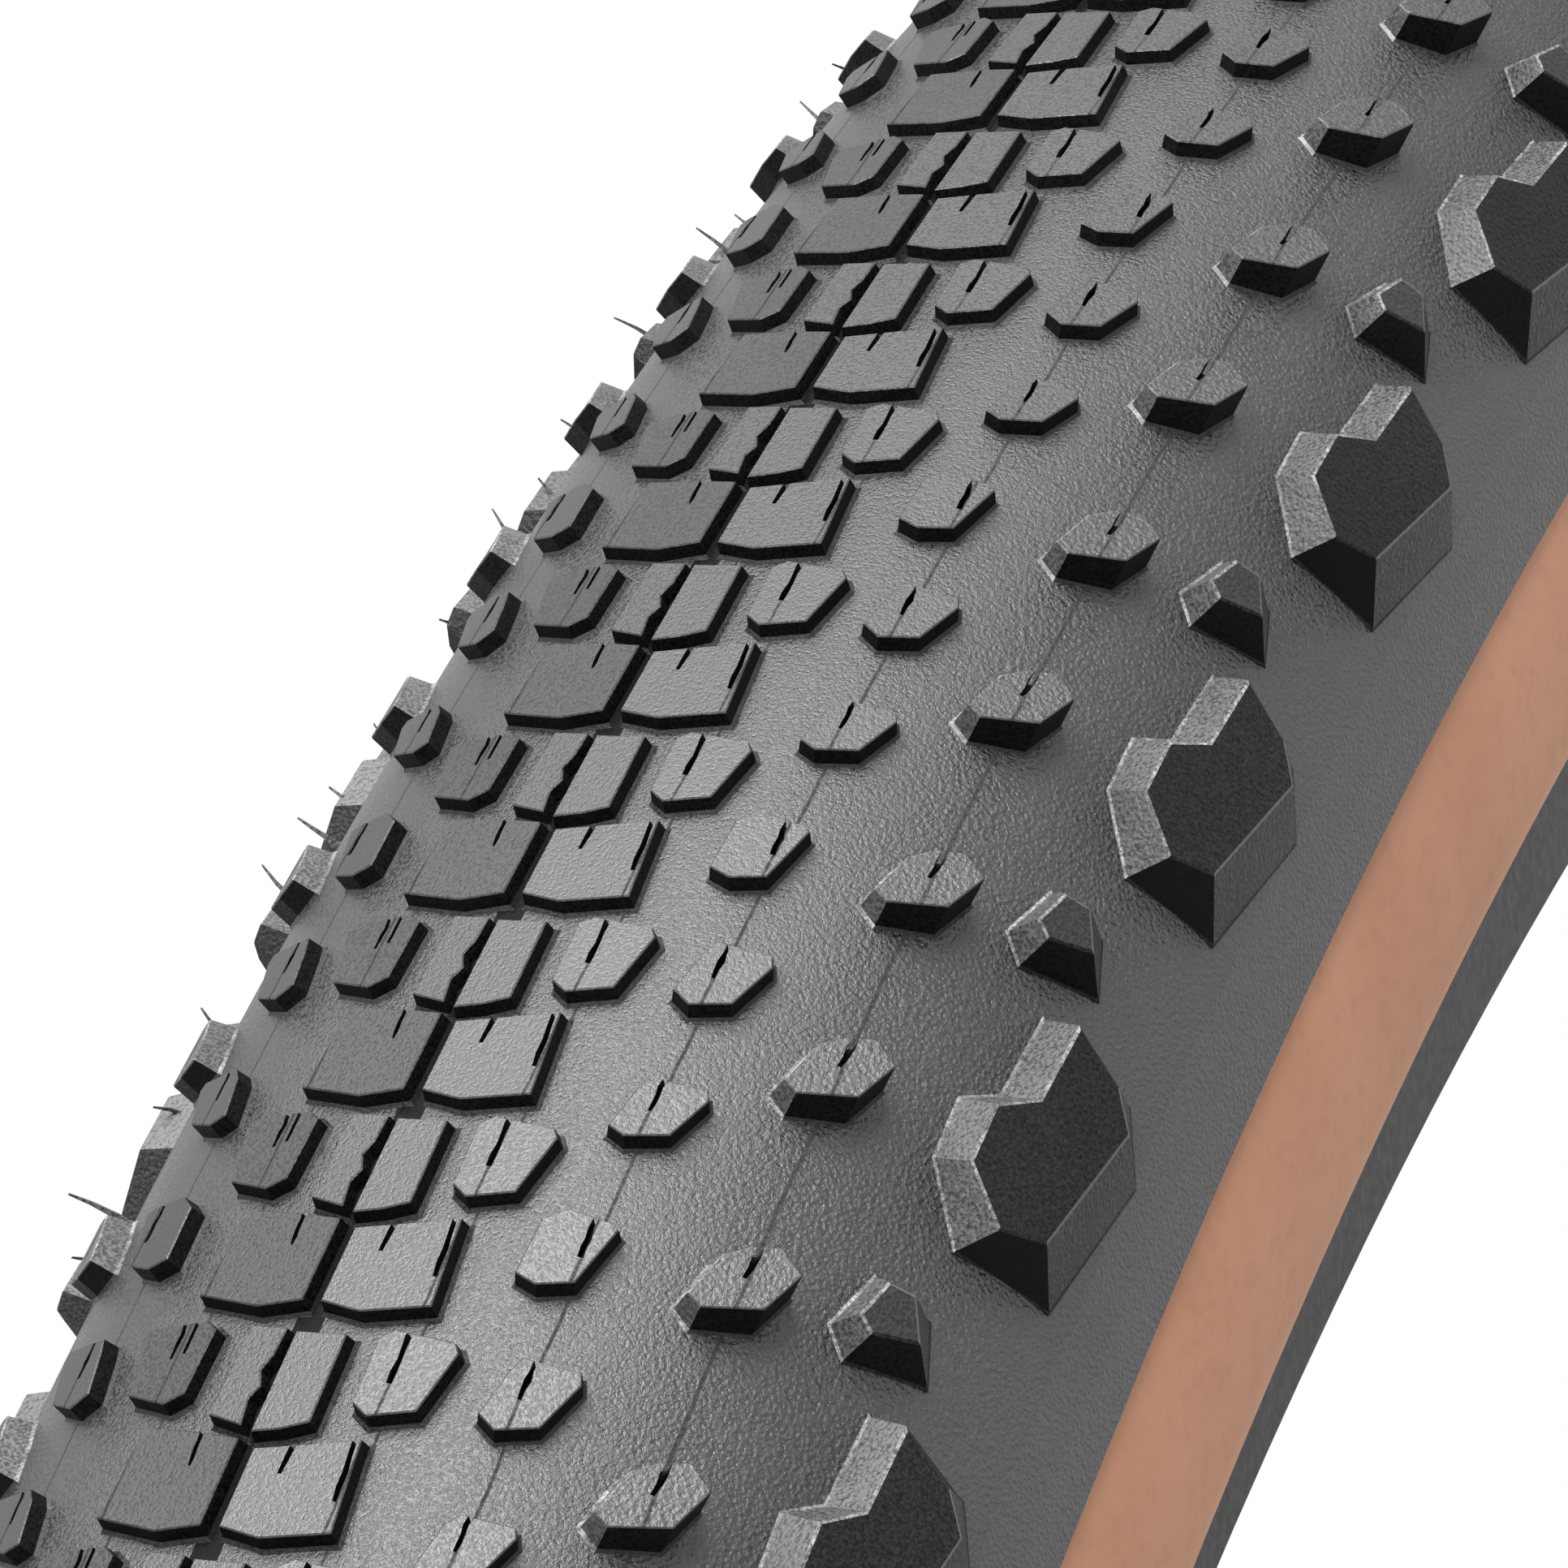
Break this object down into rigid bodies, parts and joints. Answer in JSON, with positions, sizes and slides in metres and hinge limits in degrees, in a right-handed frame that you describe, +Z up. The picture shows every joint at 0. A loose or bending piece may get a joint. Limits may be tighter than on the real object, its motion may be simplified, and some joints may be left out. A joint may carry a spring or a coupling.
{
  "type": "bicycle tire",
  "caption": "Knobbed bicycle tire with black tread rubber, tan flanks and two beads that seat on a wheel rim.",
  "frame": {"origin": "the wheel's centre: on the axle line, in the tire's middle plane", "axes": "+Y along the axle, from left to right; +Z up, with the wheel upright in the XZ plane; at the top the tread blocks' sharp edges face +X"},
  "size_m": [0.7306, 0.0488, 0.7306],
  "materials": {
    "tread_rubber": "matt moulded rubber with a fine grain",
    "strip_rubber": "smooth black rubber",
    "tan_casing": "rubber-coated fabric, matt tan",
    "bead_fibre": "bonded aramid fibre"
  },
  "bodies": {
    "root": {"casing": "tan_casing", "tread_base": "tread_rubber", "bead_core_left": "bead_fibre", "bead_core_right": "bead_fibre", "seat_strip_left": "strip_rubber", "seat_strip_right": "strip_rubber", "centre_blocks_left": "tread_rubber", "centre_blocks_right": "tread_rubber", "shoulder_knobs_left": "tread_rubber", "shoulder_knobs_right": "tread_rubber"}
  },
  "joints": []
}
